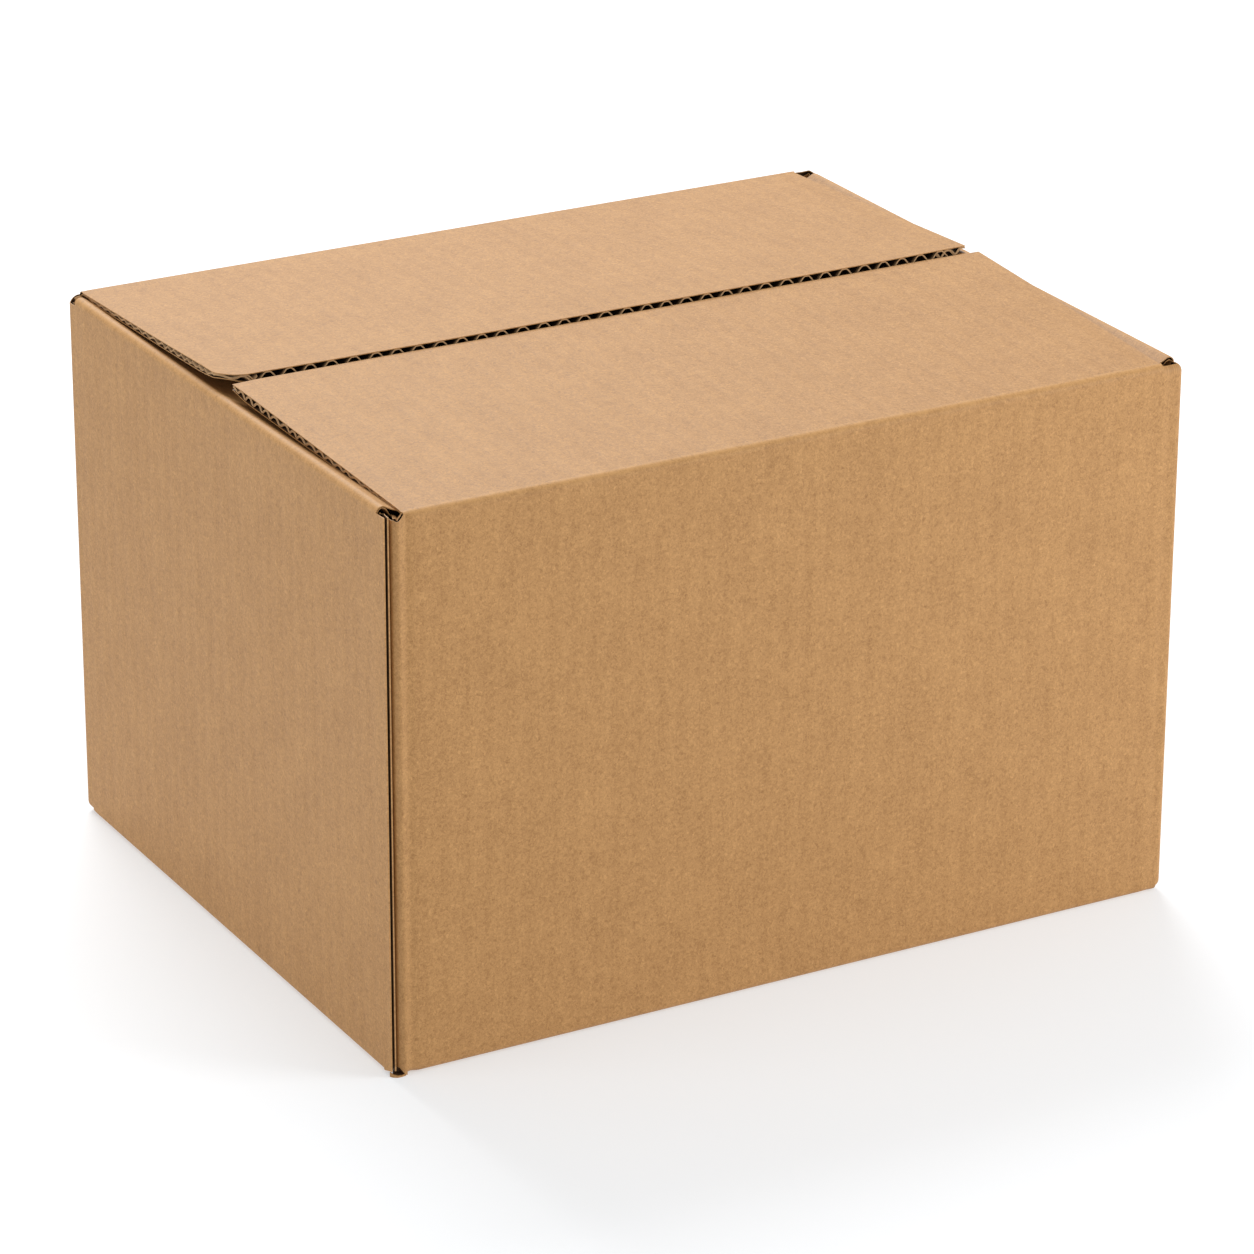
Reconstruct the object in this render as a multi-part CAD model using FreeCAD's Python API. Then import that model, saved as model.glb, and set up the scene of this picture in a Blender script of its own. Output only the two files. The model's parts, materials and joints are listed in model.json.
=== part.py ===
import FreeCAD, Part
import math
import os

# A regular slotted carton of single-wall corrugated board, folded shut and not taped.
# The frame's origin is at the middle of the base: +X along the length, +Y to the rear, +Z up.
# Sizes are in millimetres and angles in degrees.

# Outside sizes
length = 300.0
width = 243.0
height = 195.0
rear_lift = 1.0

# Board
board = 3.6
liner = 0.3
medium = 0.25
flute_pitch = 7.93
glue_line = 2.0
crown_share = 1 / 3
shoulder_share = 0.8
crush_width = 8.0
bend_slack = 0.2
inner_fold_radius = 0.4

# Outer top flaps: insets are from the left and right walls' faces to the flap's two ends
front_rise = 2.24
rear_rise = 2.6
front_edge_y = -1.1
rear_edge_y = 0.3
front_root_inset = (7.3, 8.0)
front_tip_inset = (5.1, 5.1)
rear_root_inset = (4.5, 8.8)
rear_tip_inset = (3.0, 8.8)
free_corner_radius = 8.0
mitre_gap = 0.3
crest_share = 42.0

# Inner top flaps, bottom flaps and the slots between neighbouring flaps
flap_rest_gap = 0.3
slot_end = 5.5
slot_side = 2.4
slot_bite = 4.5
slot_width = 0.6
post_reach = 9.0
top_post_drop = 1.5
base_post_rise = 1.2
fold_allowance = 3.5
bottom_seam = 2.0

# Glued corner at the front left
tab_reach = 35.0
raw_edge = 2.1
groove_width = 0.6
groove_depth = 2.4

# Worked out from the sizes above
half_length = length / 2
half_width = width / 2
front_crest = height
rear_crest = height + rear_lift
fold_radius = board + bend_slack
inner_crest = front_crest - board - flap_rest_gap
ring_top = inner_crest - board - fold_allowance
ring_base = 2 * board + fold_allowance
slot_floor = front_crest - slot_bite
post_top = front_crest - top_post_drop
inner_flap_length = half_width
inner_flap_half = half_width - board - slot_side
bottom_flap_half = half_length - slot_end
mid_arc = fold_radius * (1 - math.sqrt(0.5))
mitre_side = mitre_gap * math.sqrt(0.5)

ALONG_X = FreeCAD.Vector(1, 0, 0)
UP = FreeCAD.Vector(0, 0, 1)


def vec(x, y, z):
    return FreeCAD.Vector(x, y, z)


def span(left_inset, right_inset):
    """The two ends of a flap along X."""
    return -half_length + left_inset, half_length - right_inset


def seen_from_rear(inset):
    """The rear flap is made from its own wall's side, where left and right swap."""
    return inset[1], inset[0]


front_score = vec(0, -half_width, front_crest)
rear_score = vec(0, half_width, rear_crest)
front_root = span(*front_root_inset)
rear_root = span(*seen_from_rear(rear_root_inset))


def closed_wire(start, *steps):
    """A closed wire. A step is a point for a straight run, or (through, end) for an arc."""
    edges = []
    here = start
    for step in steps + (start,):
        if isinstance(step, tuple):
            through, end = step
            edges.append(Part.Arc(here, through, end).toShape())
        else:
            end = step
            edges.append(Part.LineSegment(here, end).toShape())
        here = end
    return Part.Wire(edges)


def box(low, high):
    """An upright block between two corners."""
    size = high - low
    return Part.makeBox(size.x, size.y, size.z, low)


def rounded_column(half_x, half_y, radius, low_z, high_z):
    """An upright block centred on Z with its four standing edges rounded."""
    block = box(vec(-half_x, -half_y, low_z), vec(half_x, half_y, high_z))
    standing = []
    for edge in block.Edges:
        if abs(edge.tangentAt(edge.FirstParameter).z) > 0.5:
            standing.append(edge)
    return block.makeFillet(radius, standing)


def flute_hollow(centre_x, base_z, side):
    """The section of one hollow between a liner at base_z and the medium. side 1 rises, -1 hangs."""
    rise = board - 2 * liner - medium
    foot = (flute_pitch - glue_line) / 2
    shoulder = flute_pitch * crown_share / 2
    shoulder_rise = shoulder_share * rise
    left_foot = vec(centre_x - foot, 0, base_z)
    right_foot = vec(centre_x + foot, 0, base_z)
    right_shoulder = vec(centre_x + shoulder, 0, base_z + side * shoulder_rise)
    left_shoulder = vec(centre_x - shoulder, 0, base_z + side * shoulder_rise)
    crown = vec(centre_x, 0, base_z + side * rise)
    return closed_wire(left_foot, right_foot, right_shoulder, (crown, left_shoulder))


def fluted_board(low_x, high_x, start_y, end_y):
    """Flat board with its flutes along Y, open at both ends, and its outside face at z 0."""
    outline = closed_wire(
        vec(low_x, 0, 0), vec(high_x, 0, 0), vec(high_x, 0, -board), vec(low_x, 0, -board)
    )
    edge_margin = 2 * liner + flute_pitch / 2
    count = int((high_x - low_x - edge_margin) / flute_pitch)
    first = (low_x + high_x) / 2 - (count - 0.5) * flute_pitch / 2
    wires = [outline]
    for i in range(count):
        lower_x = first + i * flute_pitch
        wires.append(flute_hollow(lower_x, -board + liner, 1))
        wires.append(flute_hollow(lower_x + flute_pitch / 2, -liner, -1))
    section = Part.makeFace(wires, "Part::FaceMakerBullseye")
    section.translate(vec(0, start_y, 0))
    return section.extrude(vec(0, end_y - start_y, 0))


def folded_board(half_span, wall_drop, flap_length):
    """A wall's creased edge and its flap as one piece of board, folded 90 degrees.

    The crest line is the X axis, the wall hangs below it and the flap runs to +Y.
    """
    inside = board + inner_fold_radius
    fold_mid = board + inner_fold_radius * (1 - math.sqrt(0.5))
    crease = closed_wire(
        vec(-half_span, 0, -wall_drop),
        vec(-half_span, 0, -fold_radius),
        (vec(-half_span, mid_arc, -mid_arc), vec(-half_span, fold_radius, 0)),
        vec(-half_span, crush_width, 0),
        vec(-half_span, crush_width, -board),
        vec(-half_span, inside, -board),
        (vec(-half_span, fold_mid, -fold_mid), vec(-half_span, board, -inside)),
        vec(-half_span, board, -wall_drop),
    )
    fold = Part.Face(crease).extrude(ALONG_X * (2 * half_span))
    flap = fluted_board(-half_span, half_span, crush_width, flap_length)
    return fold.fuse(flap)


def placed(shape, turn_z, turn_x, position):
    """A copy of shape turned about X, then about Z, then moved."""
    tilt = FreeCAD.Rotation(ALONG_X, turn_x)
    heading = FreeCAD.Rotation(UP, turn_z)
    result = shape.copy()
    result.Placement = FreeCAD.Placement(position, heading.multiply(tilt))
    return result


def upside_down(edge):
    """The same folded edge with its crest facing down, as at the base."""
    return edge.mirror(vec(0, 0, 0), UP)


def wall_ring(low_z, high_z):
    """The four upright walls with their rounded corner folds."""
    outside = rounded_column(half_length, half_width, fold_radius, low_z, high_z)
    inside_x = half_length - board
    inside_y = half_width - board
    return outside.cut(rounded_column(inside_x, inside_y, inner_fold_radius, low_z, high_z))


def corner_posts(low_z, high_z, front_ends, rear_ends):
    """The standing corners of the walls, outside the given ends along X of front and rear."""
    corners = []
    for wall_y, ends in ((-width, front_ends), (width, rear_ends)):
        for wall_x, end in ((-length, ends[0]), (length, ends[1])):
            near_y = math.copysign(inner_flap_half, wall_y)
            low = vec(min(wall_x, end), min(wall_y, near_y), low_z)
            high = vec(max(wall_x, end), max(wall_y, near_y), high_z)
            corners.append(box(low, high))
    return wall_ring(low_z, high_z).common(corners[0].multiFuse(corners[1:]))


def glue_tab():
    """The tab that turns in from the front wall and is glued inside the left wall."""
    inside_x = -half_length + board
    inside_y = -half_width + board
    return box(
        vec(inside_x, inside_y, ring_base),
        vec(inside_x + board, inside_y + tab_reach, ring_top),
    )


def open_joint():
    """The glued corner's open joint: a groove beside the left wall's raw edge, which is set back."""
    left_x = -half_length + raw_edge
    front_y = -half_width
    groove = box(
        vec(left_x, front_y, base_post_rise),
        vec(left_x + groove_width, front_y + groove_depth, post_top),
    )
    setback = box(
        vec(-half_length, front_y, base_post_rise),
        vec(left_x, front_y + groove_width, post_top),
    )
    return groove.fuse(setback)


def crest_point(turn):
    """How far in and how far down the rounded crest is, at that turn from the wall's face."""
    angle = math.radians(turn)
    return fold_radius * (1 - math.cos(angle)), -fold_radius * (1 - math.sin(angle))


def hinge_rim(root, crest_z):
    """The top edge of a wall that carries an outer flap, cut to a mitre under the score."""
    end_x = root[0]
    low = ring_top - crest_z
    outline = closed_wire(
        vec(end_x, 0, low),
        vec(end_x, 0, -fold_radius),
        (vec(end_x, *crest_point(crest_share / 2)), vec(end_x, *crest_point(crest_share))),
        vec(end_x, board, -board - mitre_side),
        vec(end_x, board, low),
    )
    return Part.Face(outline).extrude(ALONG_X * (root[1] - root[0]))


def outer_flap(root, tip, reach, worn_side):
    """An outer top flap lying level, with its score along X at the origin and running to +Y."""
    low_x = min(root[0], tip[0])
    high_x = max(root[1], tip[1])
    outline = closed_wire(
        vec(low_x, *crest_point(90 - crest_share)),
        (vec(low_x, *crest_point(90 - crest_share / 2)), vec(low_x, fold_radius, 0)),
        vec(low_x, crush_width, 0),
        vec(low_x, crush_width, -board),
        vec(low_x, board + mitre_side, -board),
    )
    crease = Part.Face(outline).extrude(ALONG_X * (high_x - low_x))
    flap = crease.fuse(fluted_board(low_x, high_x, crush_width, reach))
    return flap.common(flap_blank(root, tip, reach, worn_side))


def flap_blank(root, tip, reach, worn_side):
    """The die-cut outline of an outer flap, with one free corner worn round, as a thick block."""
    low = -2 * board
    near, far = (0, 1) if worn_side < 0 else (1, 0)
    inner_x = tip[near] - worn_side * free_corner_radius
    diagonal = free_corner_radius * math.sqrt(0.5)
    side_y = reach - free_corner_radius
    through = vec(inner_x + worn_side * diagonal, side_y + diagonal, low)
    outline = closed_wire(
        vec(root[near], 0, low),
        vec(tip[near], side_y, low),
        (through, vec(inner_x, reach, low)),
        vec(tip[far], reach, low),
        vec(root[far], 0, low),
    )
    return Part.Face(outline).extrude(UP * (4 * board))


def carton():
    """Walls, glue tab, inner top flaps and glued bottom: one folded sheet."""
    pieces = [wall_ring(ring_base, ring_top), glue_tab()]
    fused = span(post_reach, post_reach)
    pieces.append(corner_posts(ring_top, slot_floor, fused, fused))
    pieces.append(corner_posts(slot_bite, ring_base, fused, fused))
    beside_front = (front_root[0] - slot_width, front_root[1] + slot_width)
    beside_rear = (-rear_root[1] - slot_width, slot_width - rear_root[0])
    pieces.append(corner_posts(slot_floor, post_top, beside_front, beside_rear))
    beside_base = span(slot_end - slot_width, slot_end - slot_width)
    pieces.append(corner_posts(base_post_rise, slot_bite, beside_base, beside_base))
    inner_top = folded_board(inner_flap_half, inner_crest - ring_top, inner_flap_length)
    inner_bottom = folded_board(inner_flap_half, ring_base - board, inner_flap_length)
    outer_bottom = folded_board(bottom_flap_half, ring_base, half_width - bottom_seam / 2)
    for side in (-1, 1):
        wall_x = side * half_length
        heading = 90 * side
        pieces.append(placed(inner_top, heading, 0, vec(wall_x, 0, inner_crest)))
        pieces.append(placed(upside_down(inner_bottom), heading, 0, vec(wall_x, 0, board)))
        base_heading = 90 + heading
        wall_y = side * half_width
        pieces.append(placed(upside_down(outer_bottom), base_heading, 0, vec(0, wall_y, 0)))
    pieces.append(placed(hinge_rim(front_root, front_crest), 0, 0, front_score))
    pieces.append(placed(hinge_rim(rear_root, rear_crest), 180, 0, rear_score))
    body = pieces[0].multiFuse(pieces[1:])
    return body.cut(open_joint()).removeSplitter()


def front_flap():
    """The outer flap on the front wall's score, sprung up a little at its free edge."""
    reach = (front_edge_y + half_width) / math.cos(math.radians(front_rise))
    level = outer_flap(front_root, span(*front_tip_inset), reach, -1)
    return placed(level, 0, front_rise, front_score)


def rear_flap():
    """The outer flap on the rear wall's score."""
    reach = (half_width - rear_edge_y) / math.cos(math.radians(rear_rise))
    tip = span(*seen_from_rear(rear_tip_inset))
    level = outer_flap(rear_root, tip, reach, 1)
    return placed(level, 180, rear_rise, rear_score)


def save(name, shape):
    """Writes one node and says what it holds."""
    shape.exportStep(os.path.join("parts", name + ".step"))
    print(name, "solids", len(shape.Solids), "valid", shape.isValid(), "mm3", round(shape.Volume))


os.makedirs("parts", exist_ok=True)
save("carton", carton())
save("front_flap", front_flap())
save("rear_flap", rear_flap())
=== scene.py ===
import json
import math

import bmesh
import bpy
import numpy as np
from mathutils import Matrix, Vector


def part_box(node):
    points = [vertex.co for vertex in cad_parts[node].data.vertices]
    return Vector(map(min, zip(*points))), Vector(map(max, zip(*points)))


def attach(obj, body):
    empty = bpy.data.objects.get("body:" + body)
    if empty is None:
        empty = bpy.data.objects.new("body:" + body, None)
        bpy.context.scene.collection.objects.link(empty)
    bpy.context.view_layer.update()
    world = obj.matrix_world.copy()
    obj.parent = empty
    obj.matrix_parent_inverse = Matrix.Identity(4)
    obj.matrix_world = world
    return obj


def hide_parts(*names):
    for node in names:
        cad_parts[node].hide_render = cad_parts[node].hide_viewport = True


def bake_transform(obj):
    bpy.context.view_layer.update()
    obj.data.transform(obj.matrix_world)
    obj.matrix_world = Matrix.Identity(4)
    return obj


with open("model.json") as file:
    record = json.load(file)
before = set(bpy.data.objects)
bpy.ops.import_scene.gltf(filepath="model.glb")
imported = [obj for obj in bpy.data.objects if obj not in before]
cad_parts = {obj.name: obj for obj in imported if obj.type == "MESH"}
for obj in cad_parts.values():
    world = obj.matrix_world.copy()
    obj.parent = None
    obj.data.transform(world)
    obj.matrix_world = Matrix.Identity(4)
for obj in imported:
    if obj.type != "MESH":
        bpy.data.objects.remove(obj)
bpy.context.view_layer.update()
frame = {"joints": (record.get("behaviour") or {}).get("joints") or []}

# --- Kraft paper -----------------------------------------------------------------------------
# The board is unbleached kraft paper: matt and brown, with a fine tangle of light and dark fibres,
# flecks, faint clouds and a trace of the flutes glued underneath. The medium between the liners is
# pale where it is cut and has painted shade further in. The folds along the top have a painted
# highlight with a little rubbed wear, and faces in the board's gaps take painted shade.
MM = 0.001
flute_pitch = 7.93 * MM
# Where the painted highlight, with a little rubbed wear, runs along the top folds' crests.
crest_wear_and_highlight = 195.2 * MM
wear_and_highlight_reach = 2.2 * MM
# How far in from the cut edge the medium's painted shade reaches full darkness.
painted_shade_reach = 1.6 * MM
light_fleck_from = 0.66
dark_fleck_below = 0.32
fleck_strength = 2.6


class Field:
    """A shader socket that can stand in an expression."""

    def __init__(self, paper, socket):
        self.paper = paper
        self.socket = socket

    def __add__(self, other):
        return self.paper.maths("ADD", self, other)

    def __sub__(self, other):
        return self.paper.maths("SUBTRACT", self, other)

    def __rsub__(self, other):
        return self.paper.maths("SUBTRACT", other, self)

    def __mul__(self, other):
        return self.paper.maths("MULTIPLY", self, other)

    __radd__ = __add__
    __rmul__ = __mul__


class Paper:
    """A material whose nodes are added one by one."""

    def __init__(self, name):
        self.material = bpy.data.materials.new(name)
        self.material.use_nodes = True
        self.tree = self.material.node_tree
        self.tree.nodes.clear()

    def put(self, socket, value):
        if isinstance(value, Field):
            self.tree.links.new(value.socket, socket)
        else:
            socket.default_value = value

    def node(self, kind, settings, values=(), named=None, output=0):
        made = self.tree.nodes.new(kind)
        for key, setting in settings.items():
            setattr(made, key, setting)
        for index, value in enumerate(values):
            self.put(made.inputs[index], value)
        for key, value in (named or {}).items():
            self.put(made.inputs[key], value)
        return Field(self, made.outputs[output]) if len(made.outputs) else None

    def maths(self, operation, *values):
        return self.node("ShaderNodeMath", {"operation": operation}, values)

    def blend(self, share, first, second):
        made = self.tree.nodes.new("ShaderNodeMix")
        made.data_type = "RGBA"
        for index, value in ((0, share), (6, first), (7, second)):
            self.put(made.inputs[index], value)
        return Field(self, made.outputs[2])

    def noise(self, place, across, along, detail=2.0, rough=0.5, tangle=0.0):
        """Smooth noise from 0 to 1 whose cells measure across by along, in metres."""
        stretched = self.node(
            "ShaderNodeVectorMath",
            {"operation": "MULTIPLY"},
            (place, (1 / across, 1 / along, 1.0)),
        )
        return self.node(
            "ShaderNodeTexNoise",
            {"noise_dimensions": "3D"},
            named={
                "Vector": stretched, "Scale": 1.0, "Detail": detail, "Roughness": rough,
                "Distortion": tangle,
            },
        )

    def close(self, colour, roughness, height, depth):
        bump = self.node(
            "ShaderNodeBump", {}, named={"Height": height, "Strength": 1.0, "Distance": depth}
        )
        surface = self.node(
            "ShaderNodeBsdfPrincipled",
            {},
            named={"Base Color": colour, "Roughness": roughness, "Normal": bump, "IOR": 1.45},
        )
        self.node("ShaderNodeOutputMaterial", {}, (surface,))
        return self.material


def kraft(name, dark, light, flute_show):
    """Kraft paper whose pattern follows the sheet: across the flutes first, then along them."""
    paper = Paper(name)
    sheet = paper.node("ShaderNodeUVMap", {"uv_map": "sheet"})
    across = paper.node("ShaderNodeSeparateXYZ", {}, (sheet,))
    along = paper.node("ShaderNodeSeparateXYZ", {}, (sheet,), output=1)
    # Painted highlight with a little rubbed wear: the colour is lightened in a thin band along the
    # top folds' crests.
    off_crest = paper.maths("ABSOLUTE", along - crest_wear_and_highlight)
    wear_and_highlight = paper.maths("MAXIMUM", 1.0 - off_crest * (1 / wear_and_highlight_reach), 0.0)
    grain = paper.noise(sheet, 0.9 * MM, 1.0 * MM, 2.0, 0.6, 1.2)
    mottle = paper.noise(sheet, 3.0 * MM, 3.4 * MM, 3.0, 0.55, 0.8)
    streaks = paper.noise(sheet, 1.3 * MM, 9.0 * MM, 2.0, 0.6)
    flecks = paper.noise(sheet, 1.0 * MM, 1.4 * MM, 1.0, 0.4)
    clouds = paper.noise(sheet, 18 * MM, 24 * MM, 3.0, 0.55)
    flute = paper.maths("COSINE", across * (2 * math.pi / flute_pitch))
    light_fleck = paper.maths("MAXIMUM", flecks - light_fleck_from, 0.0) * fleck_strength
    dark_fleck = paper.maths("MAXIMUM", dark_fleck_below - flecks, 0.0) * fleck_strength
    tone = (
        0.5
        + (grain - 0.5) * 1.7
        + (mottle - 0.5) * 0.55
        + (streaks - 0.5) * 0.25
        + (clouds - 0.5) * 0.4
        + light_fleck
        - dark_fleck
        + flute * flute_show
        + wear_and_highlight * 0.45
    )
    share = paper.maths("MAXIMUM", paper.maths("MINIMUM", tone, 1.0), 0.0)
    colour = paper.blend(share, dark, light)
    roughness = 0.6 + (grain - 0.5) * 0.2
    height = (grain - 0.5) * 0.04 + (mottle - 0.5) * 0.05 + (clouds - 0.5) * 0.2 + flute * 0.02
    return paper.close(colour, roughness, height, 1.0 * MM)


liner_paper = kraft("kraft_liner", (0.31, 0.146, 0.041, 1), (0.57, 0.308, 0.112, 1), 0.03)
# A near-black copy of the paper for faces that look into the board and in the open joint at the
# foot: painted shade.
painted_shade_paper = kraft("kraft_inside", (0.08, 0.04, 0.016, 1), (0.14, 0.07, 0.03, 1), 0.0)


def medium_kraft():
    """The medium: pale where it is cut, with painted shade that darkens it further in, between the
    liners.
    """
    paper = Paper("kraft_medium")
    sheet = paper.node("ShaderNodeUVMap", {"uv_map": "sheet"})
    depth = paper.node("ShaderNodeSeparateXYZ", {}, (sheet,), output=1)
    grain = paper.noise(sheet, 0.6 * MM, 0.6 * MM, 2.0, 0.6)
    # Painted shade: the colour turns near-black a short way in from the cut edge.
    painted_shade = paper.maths("MINIMUM", depth * (1 / painted_shade_reach), 1.0)
    cut = paper.blend(grain, (0.36, 0.20, 0.085, 1), (0.62, 0.40, 0.21, 1))
    colour = paper.blend(painted_shade, cut, (0.045, 0.022, 0.008, 1))
    return paper.close(colour, 0.8, grain * 0.05, 1.0 * MM)


medium_paper = medium_kraft()

# --- Walls -----------------------------------------------------------------------------------
# The blank's four walls: two kraft liners glued to a fluted medium, creased at the standing
# corners and joined at the front left, where a tab is glued inside the left wall.
board = 3.6 * MM
liner = 0.3 * MM
medium = 0.25 * MM
flute_crown = 1.25
wave_steps = 14
thinnest_board = 0.75 * MM
sharp_angle = math.radians(38)
half_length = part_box("carton")[1].x
half_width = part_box("carton")[1].y
ring_low = 12 * MM
ring_high = 183 * MM
raw_edge = 1.9 * MM
joint_gap = 1.0 * MM
tab_reach = 35 * MM
corner_radius = 2.2 * MM
glued_radius = 2.3 * MM
inner_end = 115.5 * MM
base_end = 144.5 * MM
base_right = 147.8 * MM
front_ends = (-142.7 * MM, 142.0 * MM)
rear_ends = (-141.2 * MM, 145.5 * MM)
FRONT, RIGHT, REAR, LEFT = range(4)
OUTWARD = np.array([(0, -1), (1, 0), (0, 1), (-1, 0)], float)
ALONG = np.array([(1, 0), (0, 1), (-1, 0), (0, -1)], float)
wall_half = np.array([half_length, half_width, half_length, half_width])
wall_depth = np.array([half_width, half_length, half_width, half_length])
wall_middle = (half_length + half_width) * np.arange(4)
corner_marks = [wall_middle[w] + wall_half[w] for w in (FRONT, RIGHT, REAR)]
glued_mark = -half_length + raw_edge + joint_gap
left_end = wall_middle[LEFT] + half_width - 0.9 * MM


def smooth(low, high, value):
    """0 below low, 1 above high, and an even turn between them."""
    share = np.clip((value - low) / (high - low), 0, 1)
    return share * share * (3 - 2 * share)


def hump(middle, width, value):
    """1 at the middle, fading on both sides."""
    return np.exp(-(((value - middle) / width) ** 2))


def grid_faces(rows, columns):
    """The four-sided faces of a grid of points, and the points' numbers."""
    number = np.arange(rows * columns).reshape(rows, columns)
    corners = [number[:-1, :-1], number[:-1, 1:], number[1:, 1:], number[1:, :-1]]
    return np.stack(corners, -1).reshape(-1, 4), number


def slab(front, back, sheet, hidden):
    """A closed skin between two grids of points: its corners, faces, sheet coordinates and which
    faces look into the board and take painted shade. hidden is 0 where front does and 1 where back
    does."""
    quads, number = grid_faces(*front.shape[:2])
    total = number.size
    rim = np.concatenate([number[0], number[1:, -1], number[-1, -2::-1], number[-2:0:-1, 0]])
    following = np.roll(rim, -1)
    side = np.stack([following, rim, rim + total, following + total], -1)
    faces = np.concatenate([quads, quads[:, ::-1] + total, side])
    points = np.concatenate([front.reshape(-1, 3), back.reshape(-1, 3)])
    inside = np.arange(len(faces)) // len(quads) == hidden
    return points, faces, np.concatenate([sheet.reshape(-1, 2)] * 2), inside


def finish_mesh(work, mesh):
    """Turns every face outwards and keeps sharp edges sharp."""
    bmesh.ops.recalc_face_normals(work, faces=work.faces)
    for face in work.faces:
        face.smooth = True
    for edge in work.edges:
        edge.smooth = edge.is_manifold and edge.calc_face_angle(0) < sharp_angle
    work.to_mesh(mesh)
    work.free()


def new_object(name, mesh):
    made = bpy.data.objects.new(name, mesh)
    bpy.context.scene.collection.objects.link(made)
    return made


def lay_sheet(mesh, places):
    """Writes each point's place on the flat sheet as the mesh's UV map."""
    layer = mesh.uv_layers.new(name="sheet")
    corners = np.zeros(len(mesh.loops), np.int32)
    mesh.loops.foreach_get("vertex_index", corners)
    layer.data.foreach_set("uv", places[corners].astype(np.float32).ravel())


def piece(name, skins):
    """One liner object from closed skins."""
    mesh = bpy.data.meshes.new(name)
    points = np.concatenate([skin[0] for skin in skins])
    places = np.concatenate([skin[2] for skin in skins])
    starts = np.cumsum([0] + [len(skin[0]) for skin in skins[:-1]])
    faces = np.concatenate([skin[1] + start for start, skin in zip(starts, skins)])
    mesh.from_pydata(points.tolist(), [], faces.tolist())
    lay_sheet(mesh, places)
    mesh.materials.append(liner_paper)
    # Faces that look into the board take the near-black paper: painted shade.
    mesh.materials.append(painted_shade_paper)
    inside = np.concatenate([skin[3] for skin in skins])
    mesh.polygons.foreach_set("material_index", inside.astype(np.int32))
    work = bmesh.new()
    work.from_mesh(mesh)
    finish_mesh(work, mesh)
    made = new_object(name, mesh)
    return made


def liners(centre, facing, outer, inner, sheet, paper):
    """The two liners of a stretch of board: outer and inner are their faces' distances."""
    paper = paper[..., None]
    outer = outer[..., None]
    inner = inner[..., None]
    outside = slab(centre + facing * outer, centre + facing * (outer - paper), sheet, 1)
    inside = slab(centre + facing * (inner + paper), centre + facing * inner, sheet + 0.7, 0)
    return [outside, inside]


def flute_tree():
    """Turns a flat grid into the medium: a wave across it, with the paper's thickness."""
    tree = bpy.data.node_groups.new("flutes", "GeometryNodeTree")
    face = tree.interface
    face.new_socket("Geometry", in_out="INPUT", socket_type="NodeSocketGeometry")
    for label in ("Pitch", "Paper", "Crown"):
        face.new_socket(label, in_out="INPUT", socket_type="NodeSocketFloat")
    face.new_socket("Material", in_out="INPUT", socket_type="NodeSocketMaterial")
    face.new_socket("Geometry", in_out="OUTPUT", socket_type="NodeSocketGeometry")
    source = tree.nodes.new("NodeGroupInput")
    result = tree.nodes.new("NodeGroupOutput")
    link = tree.links.new

    def maths(operation, *values):
        made = tree.nodes.new("ShaderNodeMath")
        made.operation = operation
        for index, value in enumerate(values):
            if isinstance(value, (int, float)):
                made.inputs[index].default_value = value
            else:
                link(value, made.inputs[index])
        return made.outputs[0]

    def stored(name, kind):
        made = tree.nodes.new("GeometryNodeInputNamedAttribute")
        made.data_type = kind
        made.inputs["Name"].default_value = name
        return made.outputs[0]

    across = maths("MULTIPLY", stored("across", "FLOAT"), 2 * math.pi)
    wave = maths("COSINE", maths("DIVIDE", across, source.outputs["Pitch"]))
    wave = maths("MULTIPLY", wave, source.outputs["Crown"])
    wave = maths("MAXIMUM", maths("MINIMUM", wave, 1.0), -1.0)
    shift = tree.nodes.new("ShaderNodeVectorMath")
    shift.operation = "SCALE"
    link(stored("facing", "FLOAT_VECTOR"), shift.inputs[0])
    link(maths("MULTIPLY", wave, stored("swing", "FLOAT")), shift.inputs["Scale"])
    moved = tree.nodes.new("GeometryNodeSetPosition")
    link(source.outputs["Geometry"], moved.inputs["Geometry"])
    link(shift.outputs[0], moved.inputs["Offset"])
    thick = tree.nodes.new("GeometryNodeExtrudeMesh")
    thick.mode = "FACES"
    thick.inputs["Individual"].default_value = False
    link(moved.outputs[0], thick.inputs["Mesh"])
    link(source.outputs["Paper"], thick.inputs["Offset Scale"])
    flipped = tree.nodes.new("GeometryNodeFlipFaces")
    link(moved.outputs[0], flipped.inputs[0])
    both = tree.nodes.new("GeometryNodeJoinGeometry")
    link(thick.outputs["Mesh"], both.inputs[0])
    link(flipped.outputs[0], both.inputs[0])
    closed = tree.nodes.new("GeometryNodeMergeByDistance")
    closed.inputs["Distance"].default_value = 0.001 * MM
    link(both.outputs[0], closed.inputs["Geometry"])
    real = tree.nodes.new("GeometryNodeRealizeInstances")
    link(closed.outputs[0], real.inputs[0])
    dressed = tree.nodes.new("GeometryNodeSetMaterial")
    link(real.outputs[0], dressed.inputs["Geometry"])
    link(source.outputs["Material"], dressed.inputs["Material"])
    link(dressed.outputs[0], result.inputs[0])
    return tree


flutes = flute_tree()


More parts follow.
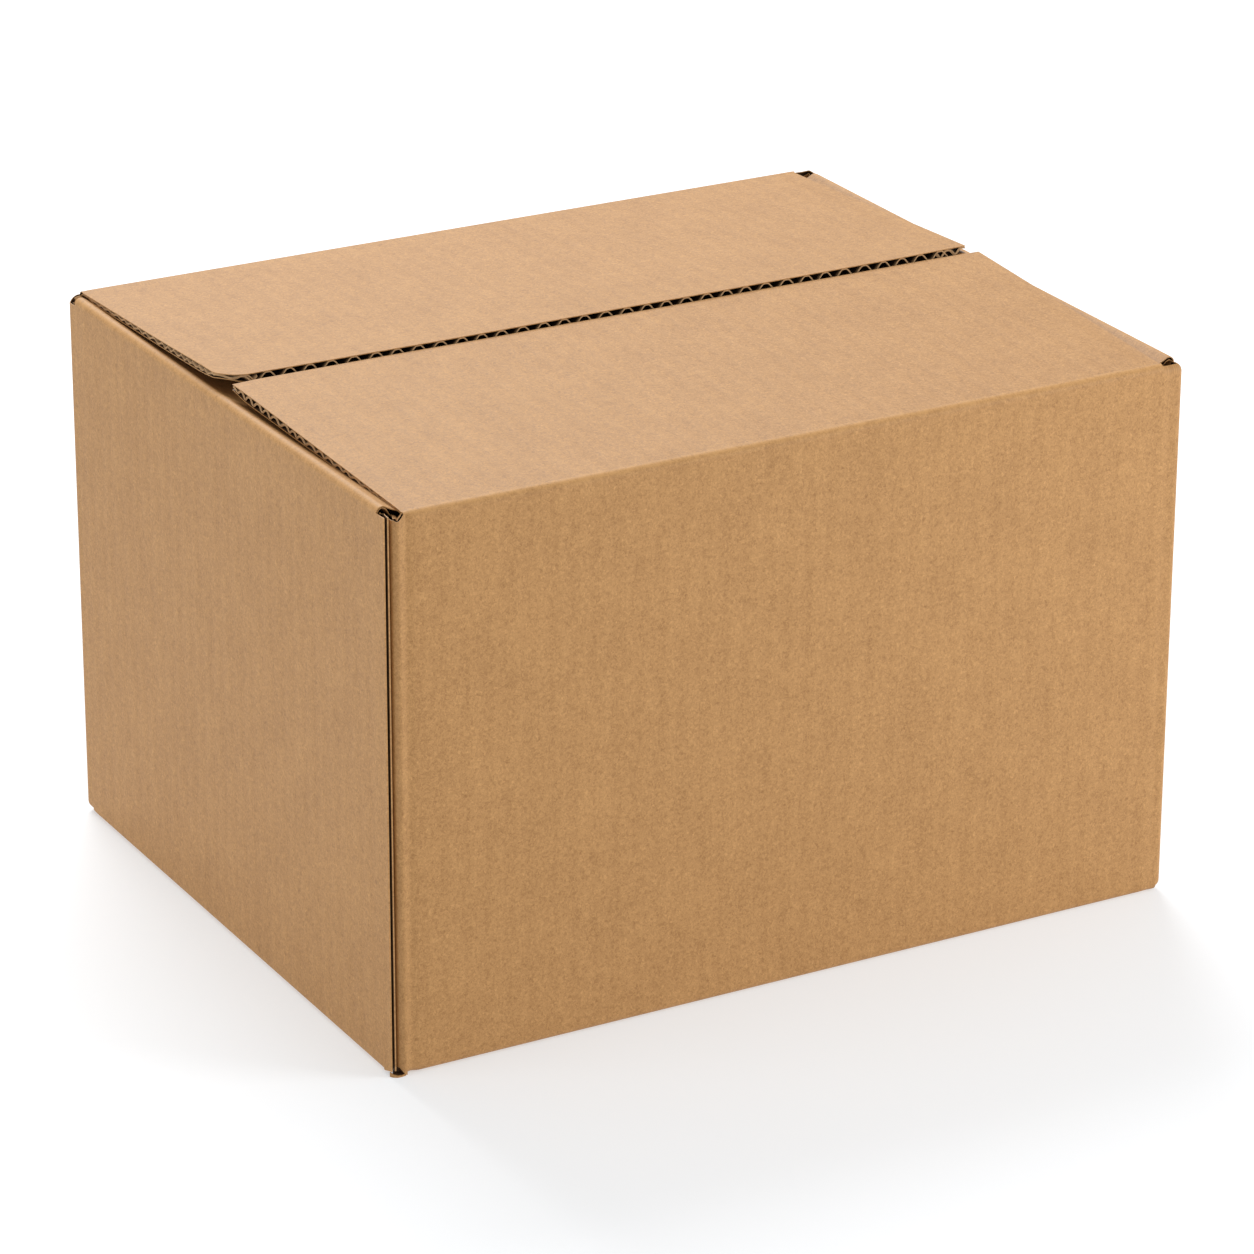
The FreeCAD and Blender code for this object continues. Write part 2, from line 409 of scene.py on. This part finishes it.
def fluted(name, stretches):
    """The medium of one piece. A stretch is (centre, facing, swing, across, pitch, paper,
    depth), where depth is how far in from the cut edge and sets the medium's painted shade."""
    work = bmesh.new()
    for centre, facing, swing, across, pitch, paper, depth in stretches:
        mesh = bpy.data.meshes.new(name)
        base = centre - facing * paper / 2
        quads = grid_faces(*centre.shape[:2])[0]
        mesh.from_pydata(base.reshape(-1, 3).tolist(), [], quads.tolist())
        for label, kind, key, values in (
            ("across", "FLOAT", "value", across),
            ("swing", "FLOAT", "value", swing),
            ("facing", "FLOAT_VECTOR", "vector", facing),
        ):
            layer = mesh.attributes.new(label, kind, "POINT")
            layer.data.foreach_set(key, np.asarray(values, np.float32).ravel())
        lay_sheet(mesh, np.stack([across, depth + 0 * across], -1).reshape(-1, 2))
        raw = new_object(name + "_raw", mesh)
        modifier = raw.modifiers.new("flutes", "NODES")
        modifier.node_group = flutes
        sizes = {"Pitch": pitch, "Paper": paper, "Crown": flute_crown, "Material": medium_paper}
        for item in flutes.interface.items_tree:
            if item.in_out == "INPUT" and item.name in sizes:
                modifier[item.identifier] = sizes[item.name]
        depsgraph = bpy.context.evaluated_depsgraph_get()
        work.from_mesh(bpy.data.meshes.new_from_object(raw.evaluated_get(depsgraph)))
        bpy.data.objects.remove(raw)
    mesh = bpy.data.meshes.new(name)
    finish_mesh(work, mesh)
    mesh.materials.append(medium_paper)
    made = new_object(name, mesh)
    return made


def turn_corner(across, mark, radius, centre, ways, spot, facing):
    """Bends the board's middle round a standing crease, from the first way out to the second."""
    turning = np.abs(across - mark) < radius
    angle = ((across[turning] - mark + radius) / (2 * radius) * math.pi / 2)[:, None]
    way = ways[0] * np.cos(angle) + ways[1] * np.sin(angle)
    spot[turning] = centre + way * (radius - board / 2)
    facing[turning] = way


def plan(across):
    """Where the middle of the standing board is, and which way it faces, at each point across."""
    spot = np.zeros(across.shape + (2,))
    facing = np.zeros(across.shape + (2,))
    for wall in range(4):
        here = across - wall_middle[wall]
        on = np.abs(here) <= wall_half[wall] + 1e-9
        depth = wall_depth[wall] - board / 2
        spot[on] = here[on, None] * ALONG[wall] + depth * OUTWARD[wall]
        facing[on] = OUTWARD[wall]
    for wall, mark in zip((FRONT, RIGHT, REAR), corner_marks):
        corner = ALONG[wall] * wall_half[wall] + OUTWARD[wall] * wall_depth[wall]
        centre = corner - corner_radius * (ALONG[wall] + OUTWARD[wall])
        ways = OUTWARD[wall], OUTWARD[wall + 1]
        turn_corner(across, mark, corner_radius, centre, ways, spot, facing)
    centre = np.array([glued_mark, -half_width]) + glued_radius
    ways = OUTWARD[LEFT], OUTWARD[FRONT]
    turn_corner(across, glued_mark, glued_radius, centre, ways, spot, facing)
    inside = across <= glued_mark - glued_radius
    run = glued_mark - glued_radius - across[inside]
    slide = (board - raw_edge - joint_gap) * smooth(0, 8 * MM, run)
    spot[inside] = np.stack([glued_mark + slide + board / 2, -half_width + glued_radius + run], -1)
    facing[inside] = OUTWARD[LEFT]
    return spot, facing


def crease_shape(across):
    """A standing crease's outer and inner faces: a low trough beside it, and crushed within."""
    outer = np.full(across.shape, board / 2)
    inner = np.full(across.shape, -board / 2)
    for mark in corner_marks:
        away = np.abs(across - mark)
        outer -= 0.10 * MM * hump(5.2 * MM, 1.5 * MM, away)
        inner += 1.6 * MM * hump(0, 3.2 * MM, away)
    outer -= 0.5 * MM * hump(glued_mark + 4.6 * MM, 1.5 * MM, across)
    outer += 0.2 * MM * hump(glued_mark + 1.8 * MM, 1.0 * MM, across)
    inner += 1.5 * MM * hump(glued_mark, 3.2 * MM, across)
    inner += (board - raw_edge) * smooth(left_end - 8 * MM, left_end - 1.5 * MM, across)
    paper = liner + 0.2 * MM * smooth(left_end - 3 * MM, left_end, across)
    return outer, inner, paper


def standing(across, levels):
    """Centre, facing, liner distances and sheet coordinates of the upright board."""
    spot, way = plan(across)
    shape = (len(levels), len(across))
    centre = np.zeros(shape + (3,))
    centre[..., :2] = spot
    centre[..., 2] = levels[:, None]
    facing = np.zeros(shape + (3,))
    facing[..., :2] = way
    outer, inner, paper = (np.broadcast_to(face, shape) for face in crease_shape(across))
    sheet = np.stack(np.broadcast_arrays(across[None, :], levels[:, None]), -1)
    return centre, facing, outer, inner, sheet, paper


def stops(low, high, marks, step=14 * MM, reach=8 * MM, close=0.6 * MM):
    """Points from low to high: wide apart on the flat and close together round each mark."""
    parts = [np.arange(low, high, step), [low, high]]
    parts += [np.arange(mark - reach, mark + reach, close) for mark in marks]
    points = np.unique(np.round(np.concatenate(parts), 6))
    return points[(points >= low - 1e-7) & (points <= high + 1e-7)]


post_radius = 3.0 * MM
post_step = 0.5 * MM
post_thinning = 1.3 * MM
post_board = 0.7 * MM


def corner_post(start, end, crest, upward, turn, lip):
    """A standing corner between two slots. It rounds over the crease line by turn, or, where
    turn is 0, ends in a cut edge that follows lip."""
    across = stops(start, end, (), step=post_step)
    sign = 1 if upward else -1
    base = ring_high if upward else ring_low
    straight = crest - sign * post_radius
    levels = np.concatenate([np.linspace(base, straight, 4), np.full(6, straight)])
    centre, facing, outer, inner, sheet, paper = standing(across, levels)
    angle = np.concatenate([np.zeros(4), np.linspace(0, 1, 7)[1:] * turn])[:, None]
    flat = facing.copy()
    bend = post_radius - board / 2
    facing = flat * np.cos(angle)[..., None]
    facing[..., 2] = sign * np.sin(angle)
    centre = centre - flat * (bend * (1 - np.cos(angle)))[..., None]
    centre[..., 2] += sign * bend * np.sin(angle)
    climb = np.concatenate([np.linspace(0, 0.6, 4), np.linspace(0.6, 1, 7)[1:]])[:, None]
    centre[..., 2] += climb * lip(across)
    thin = post_thinning * smooth(0.6, 1.0, climb) * (outer - inner > 2.4 * MM)
    inner = np.minimum(inner + thin, outer - post_board)
    return liners(centre, facing, outer, inner, sheet, paper)


def no_lip(across):
    return 0 * across


def front_left_lip(across):
    """The strip beside the glued corner rises in a torn curve."""
    return 1.2 * MM + 1.6 * MM * np.clip((across + 146 * MM) / (2.7 * MM), -0.5, 1.5) ** 2


def full_lip(across):
    return 3.0 * MM + 0 * across


def rear_left_lip(across):
    """The post's top steps down round the corner."""
    corner = corner_marks[2]
    return 2.8 * MM - 1.9 * MM * smooth(corner - 4 * MM, corner + 0.5 * MM, across)


def left_foot(across):
    """The left wall's foot draws up towards the glued corner."""
    return -2.5 * MM + 1.2 * MM * smooth(left_end - 5 * MM, left_end, across)


def front_left_foot(across):
    """The front wall's foot slopes up towards the glued corner."""
    return 2.6 * MM * np.clip((-across - 144.5 * MM) / (3.2 * MM), 0, 1) ** 1.3 - 3.0 * MM


start = glued_mark - tab_reach
across = stops(start, left_end, corner_marks + [glued_mark, left_end])
levels = np.linspace(ring_low, ring_high, 16)
grid = standing(across, levels)
skins = liners(*grid)
round_over = math.radians(62)
round_under = math.radians(68)
top_crest = 194.6 * MM
rear_top_crest = top_crest + 1 * MM
glued_crest = 194.4 * MM
foot_crest = 0.8 * MM
right_middle, rear_middle, left_middle = wall_middle[RIGHT], wall_middle[REAR], wall_middle[LEFT]
for first, last, crest, upward, turn, lip in (
    (front_ends[1], right_middle - inner_end, top_crest, True, round_over, no_lip),
    (right_middle + inner_end, rear_middle + rear_ends[0], rear_top_crest, True, round_over, no_lip),
    (rear_middle + rear_ends[1], left_middle - inner_end, top_crest, True, 0.0, rear_left_lip),
    (left_middle + inner_end, left_end, glued_crest, True, 0.0, full_lip),
    (glued_mark - 6 * MM, front_ends[0], glued_crest, True, 0.0, front_left_lip),
    (base_right, right_middle - inner_end, foot_crest, False, round_under, no_lip),
    (right_middle + inner_end, rear_middle - base_end, foot_crest, False, round_under, no_lip),
    (rear_middle + base_end, left_middle - inner_end, foot_crest, False, round_under, no_lip),
    (left_middle + inner_end, left_end, 0.6 * MM, False, 0.0, left_foot),
    (glued_mark - 6 * MM, -base_end, 0.4 * MM, False, 0.0, front_left_foot),
):
    skins += corner_post(first, last, crest, upward, turn, lip)

# The left liner's foot is dragged round under the open joint and closes it at the floor, with the
# glued tab's crushed end behind it. A small ledge and that end show near-black faces in the joint:
# painted shade.
path = np.array([
    (-149.9, -119.4, 0.1, 1.6), (-149.2, -120.6, 0.1, 1.0), (-148.0, -121.4, 0.1, 0.7),
    (-146.4, -121.5, 0.1, 0.6), (-145.0, -121.2, 0.1, 1.1), (-144.4, -120.7, 0.1, 1.6),
]) * MM
hem = np.stack([path[:, [0, 1, 2]], path[:, [0, 1, 3]]])
inward = np.array([0.35, 0.4, 0]) * MM
skins.append(slab(hem, hem + inward, hem[..., [0, 2]], 1))
corners = [(x, y, 0.5) for x in (-148.9, -144.3) for y in (-118.4, -120.6)]
shaded_ledge = np.array(corners).reshape(2, 2, 3) * MM
skins.append(slab(shaded_ledge, shaded_ledge - np.array([0, 0, 0.3]) * MM, shaded_ledge[..., :2], 0))
corners = [(x, -118.5, z) for z in (0.3, 14) for x in (-148.4, -142.4)]
shaded_backing = np.array(corners).reshape(2, 2, 3) * MM
skins.append(slab(shaded_backing, shaded_backing + inward, shaded_backing[..., [0, 2]], 0))
walls = piece("carton_walls", skins)
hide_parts("carton")
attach(walls, "root")


def wall_medium(first, last, levels):
    """A stretch of the walls' medium, which fades out into the glued joint's crushed edge."""
    fine = np.arange(first, last, flute_pitch / wave_steps)
    centre, facing, outer, inner, sheet, paper = standing(fine, levels)
    swing = np.maximum((outer - inner) / 2 - liner - medium / 2, 0.1 * MM)
    swing = swing * smooth(0, 3 * MM, left_end - 3.5 * MM - fine)
    middle = centre + facing * ((outer + inner) / 2)[..., None]
    depth = levels.max() - levels[:, None]
    return middle, facing, swing, sheet[..., 0], flute_pitch, medium, depth


wall_flutes = fluted("carton_wall_flutes", [
    wall_medium(start + 2 * MM, left_end - 3.5 * MM, np.array([9 * MM, 184 * MM])),
    wall_medium(
        rear_middle + rear_ends[1], left_middle - inner_end, np.array([184.1, 190.5, 191.8]) * MM
    ),
])
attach(wall_flutes, "root")

# --- Bottom flaps ----------------------------------------------------------------------------
# The same board running on past a horizontal crease, crushed where it was scored. The two inner
# bottom flaps are folded first, and the two outer ones are glued over them and meet at the middle.


def fold_stations(radius, turn, rest, settle, wall_run, flap_run):
    """A folded board's middle: distance in from the wall's face, height over the crease's
    start, how far it has turned, and length along the board. rest is the turn at the free end
    and settle is the run over which it gets there."""
    bend = radius - board / 2
    arc = bend * turn
    close = np.arange(0.8 * MM, 12 * MM, 0.9 * MM)
    run = np.concatenate([close, np.linspace(13 * MM, flap_run, 16)])
    length = np.concatenate([
        wall_run * np.linspace(0, 1, 4), wall_run + arc * np.linspace(0, 1, 11)[1:],
        wall_run + arc + run,
    ])
    past = length - wall_run - arc
    angle = turn * np.clip((length - wall_run) / arc, 0, 1) + (rest - turn) * smooth(0, settle, past)
    step = np.diff(length)
    way = (angle[1:] + angle[:-1]) / 2
    inward = board / 2 + np.concatenate([[0], np.cumsum(step * np.sin(way))])
    height = -wall_run + np.concatenate([[0], np.cumsum(step * np.cos(way))])
    return inward, height, angle, length, run


def flap(name, wall, crest, ends, tips, reach, upward, form):
    """One flap with the strip of wall that carries it, and its medium. form holds its turn at
    the crease, its rest, and how its edges and faces depart from flat. A form whose truss_depth
    is large shows open flutes along its short sides too."""
    sign = 1 if upward else -1
    radius = form["radius"]
    turn = form["turn"]
    tangent = radius * min(math.tan(turn / 2), 1.0)
    wall_run = abs(crest - sign * tangent - (ring_high if upward else ring_low))
    inward, height, angle, length, run = fold_stations(
        radius, turn, form["rest"], form["settle"], wall_run, reach - tangent
    )
    first = len(inward) - len(run)
    crease_at = (length[3] + length[first - 1]) / 2
    width = tips[1] - tips[0]

    def surface(share, rows):
        """The flap's board at rows along it and shares across it, as standing() gives a wall's."""
        low_row = np.minimum(rows.astype(int), len(inward) - 2)
        part = rows - low_row
        inn, up, turned, far = (
            (values[low_row] * (1 - part) + values[low_row + 1] * part)[:, None]
            for values in (inward, height, angle, length)
        )
        ride = np.clip((far - length[first - 1]) / run[-1], 0, 1)
        low = ends[0] + (tips[0] - ends[0]) * ride
        high = ends[1] + (tips[1] - ends[1]) * ride
        x = low + (high - low) * share[None, :]
        inn = inn - smooth(0.55, 1.0, ride) * form["edge"](x)
        up = up - tangent + ride * form["lift"](x)
        up = up + form["crest"](x) * smooth(0, 1, far / crease_at)
        centre = np.zeros(x.shape + (3,))
        depth = (wall_depth[wall] - inn)[..., None]
        centre[..., :2] = x[..., None] * ALONG[wall] + depth * OUTWARD[wall]
        centre[..., 2] = crest + sign * up
        facing = np.zeros(x.shape + (3,))
        facing[..., :2] = np.cos(turned)[..., None] * OUTWARD[wall]
        facing[..., 2] = sign * np.sin(turned)
        edge_side = np.minimum(x - low, high - x)
        crushed = form["tip_crush"] * ride + form["root_crush"] * (1 - ride)
        worn = form["worn"](x, inn) + crushed * hump(0, 7 * MM, edge_side) * (ride > 0)
        pinch = form["pinch"] * hump(0, form["pinch_width"], far - crease_at)
        outer, inner, paper = crease_shape(x + wall_middle[wall])
        fade = 1 - smooth(0.95, 1.35, far / crease_at)
        outer = board / 2 + (outer - board / 2) * fade - worn * 0.2
        inner = -board / 2 + (inner + board / 2) * fade + pinch + worn * 0.8
        inner = np.minimum(inner, outer - thinnest_board)
        base = ring_high if upward else ring_low
        skin = far + board / 2 * turned
        sheet = np.stack([x + wall_middle[wall], base + sign * skin + 0 * x], -1)
        return centre, facing, outer, inner, sheet, paper

    def wave(grid, across, pitch, paper, fade, depth):
        """A stretch of medium that fills the board on a grid."""
        centre, facing, outer, inner, sheet, liner_here = grid
        swing = np.maximum((outer - inner) / 2 - liner - paper / 2, 0.02 * MM) * fade
        middle = centre + facing * ((outer + inner) / 2)[..., None]
        return middle, facing, swing, across, pitch, paper, depth

    curve = edge_band * (1 - np.sin(np.linspace(0, math.pi / 2, 12)))
    share = np.unique(np.round(np.concatenate([np.linspace(0, 1, 36), curve, 1 - curve]), 5))
    rows = np.arange(len(inward)).astype(float)
    shell = piece(name, liners(*surface(share, rows)))
    rim = form["truss_depth"]
    last = float(len(inward) - 1)
    rows = np.concatenate([np.arange(first + 5, last - 3, 2), [last - 1, last - 0.25, last - 0.02]])
    share = np.arange(rim, width - rim, flute_pitch / wave_steps) / width
    grid = surface(share, rows)
    across = grid[4][..., 0]
    wander = form["wander"] * (np.sin(across * 190) + np.sin(across * 83 + 1))
    depth = grid[4][..., 1] * sign
    depth = depth.max() - depth
    stretches = [wave(grid, across + wander, flute_pitch, seam_paper, 1.0, depth)]
    if rim > 3 * MM:
        lanes = np.linspace(0.1 * MM, rim + 5 * MM, truss_lanes) / width
        for share in (lanes, 1 - lanes[::-1]):
            rows = np.linspace(first + 4, last - 0.02, int(run[-1] / truss_pitch * truss_steps))
            grid = surface(share, rows)
            along = grid[4][..., 1]
            wander = 0.5 * MM * (np.sin(along * 210) + np.sin(along * 341 + 2))
            fade = 1 - 0.25 * np.sin(along * 457) ** 2
            in_side = np.minimum(share, 1 - share) * width
            in_end = np.abs(along[-1] - along)
            phase = along - sign * in_side + wander
            depth = np.minimum(in_side, in_end)
            stretches.append(wave(grid, phase, truss_pitch, truss_paper, fade, depth))
    return shell, fluted(name + "_flutes", stretches)


def level(x, *rest):
    return 0 * x


edge_band = 0.035
truss_pitch = 6.3 * MM
truss_lanes = 24
truss_steps = 11
truss_paper = 0.7 * MM
seam_paper = 0.45 * MM
plain_form = {
    "radius": 3.0 * MM,
    "turn": math.pi / 2,
    "rest": math.pi / 2,
    "settle": 5 * MM,
    "pinch": 1.2 * MM,
    "pinch_width": 3.5 * MM,
    "edge": level,
    "lift": level,
    "crest": level,
    "worn": level,
    "tip_crush": 0.3 * MM,
    "root_crush": 0.3 * MM,
    "truss_depth": 2.6 * MM,
    "wander": 0.0,
}
inner_form = dict(
    plain_form, radius=2.2 * MM, turn=math.radians(118), rest=math.radians(90.5),
    settle=16 * MM, pinch=2.2 * MM, pinch_width=4.0 * MM,
)
side = (-inner_end, inner_end)
base = (-base_end, base_end)
front_base = (-base_end, base_right)
inner_foot = 0.3 * MM
base_reach = half_width - 0.2 * MM
for name, wall, crest, ends, reach, form in (
    ("left_inner_bottom_flap", LEFT, inner_foot, side, half_width, inner_form),
    ("right_inner_bottom_flap", RIGHT, inner_foot, side, half_width, inner_form),
    ("front_bottom_flap", FRONT, 0.0, front_base, base_reach, plain_form),
    ("rear_bottom_flap", REAR, 0.0, base, base_reach, plain_form),
):
    for made in flap(name, wall, crest, ends, ends, reach, False, form):
        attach(made, "root")

# --- Inner top flaps -------------------------------------------------------------------------
# The left and right flaps are folded in first. Their creases stand proud beside the outer flaps'
# ends, and the boards dip under the outer flaps straight away and then lie level.
inner_crest = 195.4 * MM


def left_rise(x):
    """The left crease climbs towards the front, the way x grows there."""
    return 0.5 * MM * smooth(-100 * MM, 20 * MM, x) + 0.5 * MM * smooth(20 * MM, 100 * MM, x)


for name, wall, rise in (("left_inner_flap", LEFT, left_rise), ("right_inner_flap", RIGHT, level)):
    form = dict(inner_form, crest=rise)
    for made in flap(name, wall, inner_crest, side, side, half_width, True, form):
        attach(made, "root")

# --- Outer top flaps -------------------------------------------------------------------------
# The front and rear flaps close over the inner ones without tape. Each springs up a little, so
# they meet in a low ridge, with the front flap's edge just under the rear one's.
joints = {joint["name"]: joint for joint in frame["joints"]}
front_crest = joints["front_flap_fold"]["pos_m"][2]
rear_crest = joints["rear_flap_fold"]["pos_m"][2]


def front_edge(x):
    return 0.15 * MM * np.sin(x * 90) + 0.4 * MM * (x / half_length) ** 8


def front_lift(x):
    return 0.25 * MM - 0.35 * MM * x / half_length


def front_worn(x, inn):
    """Its free left corner is crushed."""
    return 1.4 * MM * hump(0, 6 * MM, np.hypot(x + 0.145, inn - 0.1205))


def rear_edge(x):
    """The edge draws back at both ends, and curves away at the free left corner."""
    ends = 2.0 * MM * np.abs(x / half_length) ** 5
    corner = 7 * MM * np.clip((x - 137 * MM) / (10 * MM), 0, 1) ** 2
    return ends + corner + 0.12 * MM * np.sin(x * 70 + 1)


def rear_lift(x):
    return 0.15 * MM + 0 * x


def rear_worn(x, inn):
    """So is the rear flap's, where x grows towards the left."""
    return 1.3 * MM * hump(0, 9 * MM, np.hypot(x - 0.147, inn - 0.118))


outer_form = dict(plain_form)
outer_form.update(
    radius=2.6 * MM, pinch=2.1 * MM, pinch_width=6.5 * MM, truss_depth=7.5 * MM, wander=0.25 * MM
)
front_form = dict(outer_form, edge=front_edge, lift=front_lift, worn=front_worn)
front_form.update(tip_crush=0.1 * MM, root_crush=1.9 * MM)
rear_form = dict(outer_form, edge=rear_edge, lift=rear_lift, worn=rear_worn)
rear_form.update(tip_crush=0.7 * MM, root_crush=1.9 * MM)
front_form["turn"] = front_form["rest"] = math.radians(90 - 2.24)
rear_form["turn"] = rear_form["rest"] = math.radians(90 - 2.6)
front_tips = (-144.9 * MM, 144.9 * MM)
rear_tips = (-141.2 * MM, 147.0 * MM)
front_reach = 120.5 * MM
rear_reach = 121.4 * MM
front_pieces = flap(
    "front_flap_board", FRONT, front_crest, front_ends, front_tips, front_reach, True, front_form
)
rear_pieces = flap(
    "rear_flap_board", REAR, rear_crest, rear_ends, rear_tips, rear_reach, True, rear_form
)
fold_zone = 5 * MM
for pieces, body, wall_y, crest in (
    (front_pieces, "front_flap_body", -half_width, front_crest),
    (rear_pieces, "rear_flap_body", half_width, rear_crest),
):
    below = (0, wall_y, crest - fold_zone)
    beyond = (0, wall_y - math.copysign(fold_zone, wall_y), crest)
    for made in pieces:
        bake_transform(made)
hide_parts("front_flap")
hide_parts("rear_flap")

# --- Studio ----------------------------------------------------------------------------------
# A plain white table that glows a little, so that shadows on it stay pale, under even white light
# and three soft lamps: one high behind, and two weak ones at the front right and the left. The
# camera has a long lens and stands at the front left.
floor_mesh = bpy.data.meshes.new("table")
table_half = 6.0
table_corners = [(-table_half, -table_half, 0), (table_half, -table_half, 0)]
table_corners += [(table_half, table_half, 0), (-table_half, table_half, 0)]
floor_mesh.from_pydata(table_corners, [], [(0, 1, 2, 3)])
floor = bpy.data.objects.new("table", floor_mesh)
bpy.context.scene.collection.objects.link(floor)
table_paint = bpy.data.materials.new("white_table")
table_paint.use_nodes = True
for label, setting in (
    ("Base Color", (0.60, 0.62, 0.64, 1)),
    ("Roughness", 0.9),
    ("Specular IOR Level", 0.1),
    ("Emission Color", (0.985, 0.995, 1.0, 1)),
    ("Emission Strength", 0.42),
):
    table_paint.node_tree.nodes["Principled BSDF"].inputs[label].default_value = setting
floor_mesh.materials.append(table_paint)

world = bpy.data.worlds.new("studio")
bpy.context.scene.world = world
world.use_nodes = True
world.node_tree.nodes["Background"].inputs["Color"].default_value = (1, 1, 1, 1)
world.node_tree.nodes["Background"].inputs["Strength"].default_value = 0.53


def soft_light(name, place, target, width, power):
    lamp = bpy.data.lights.new(name, "AREA")
    lamp.size = width
    lamp.energy = power
    made = bpy.data.objects.new(name, lamp)
    bpy.context.scene.collection.objects.link(made)
    made.location = place
    made.rotation_euler = (Vector(target) - Vector(place)).to_track_quat("-Z", "Y").to_euler()


soft_light("behind", (0.35, 1.7, 1.9), (0, 0, 0.15), 1.5, 56)
soft_light("front_right", (0.85, -0.8, 0.45), (0.1, -0.12, 0.1), 0.5, 7)
soft_light("left", (-1.5, 0.1, 0.9), (-0.15, 0, 0.1), 1.0, 5)

camera_data = bpy.data.cameras.new("camera")
camera = bpy.data.objects.new("camera", camera_data)
bpy.context.scene.collection.objects.link(camera)
bpy.context.scene.camera = camera
camera_data.sensor_width = 36
camera_data.lens = 154.82
camera_data.clip_start = 0.05
camera_data.clip_end = 50
camera.location = (-0.84566, -1.51647, 0.80028)
forward = Vector((0.4521, 0.8065, -0.3810)).normalized()
roll = math.radians(0.214)
level_right = forward.cross(Vector((0, 0, 1))).normalized()
level_up = level_right.cross(forward)
right = level_right * math.cos(roll) + level_up * math.sin(roll)
up = right.cross(forward)
turned = Matrix((right, up, -forward)).transposed().to_4x4()
camera.matrix_world = Matrix.Translation(camera.location) @ turned
bpy.context.scene.view_settings.view_transform = "Standard"
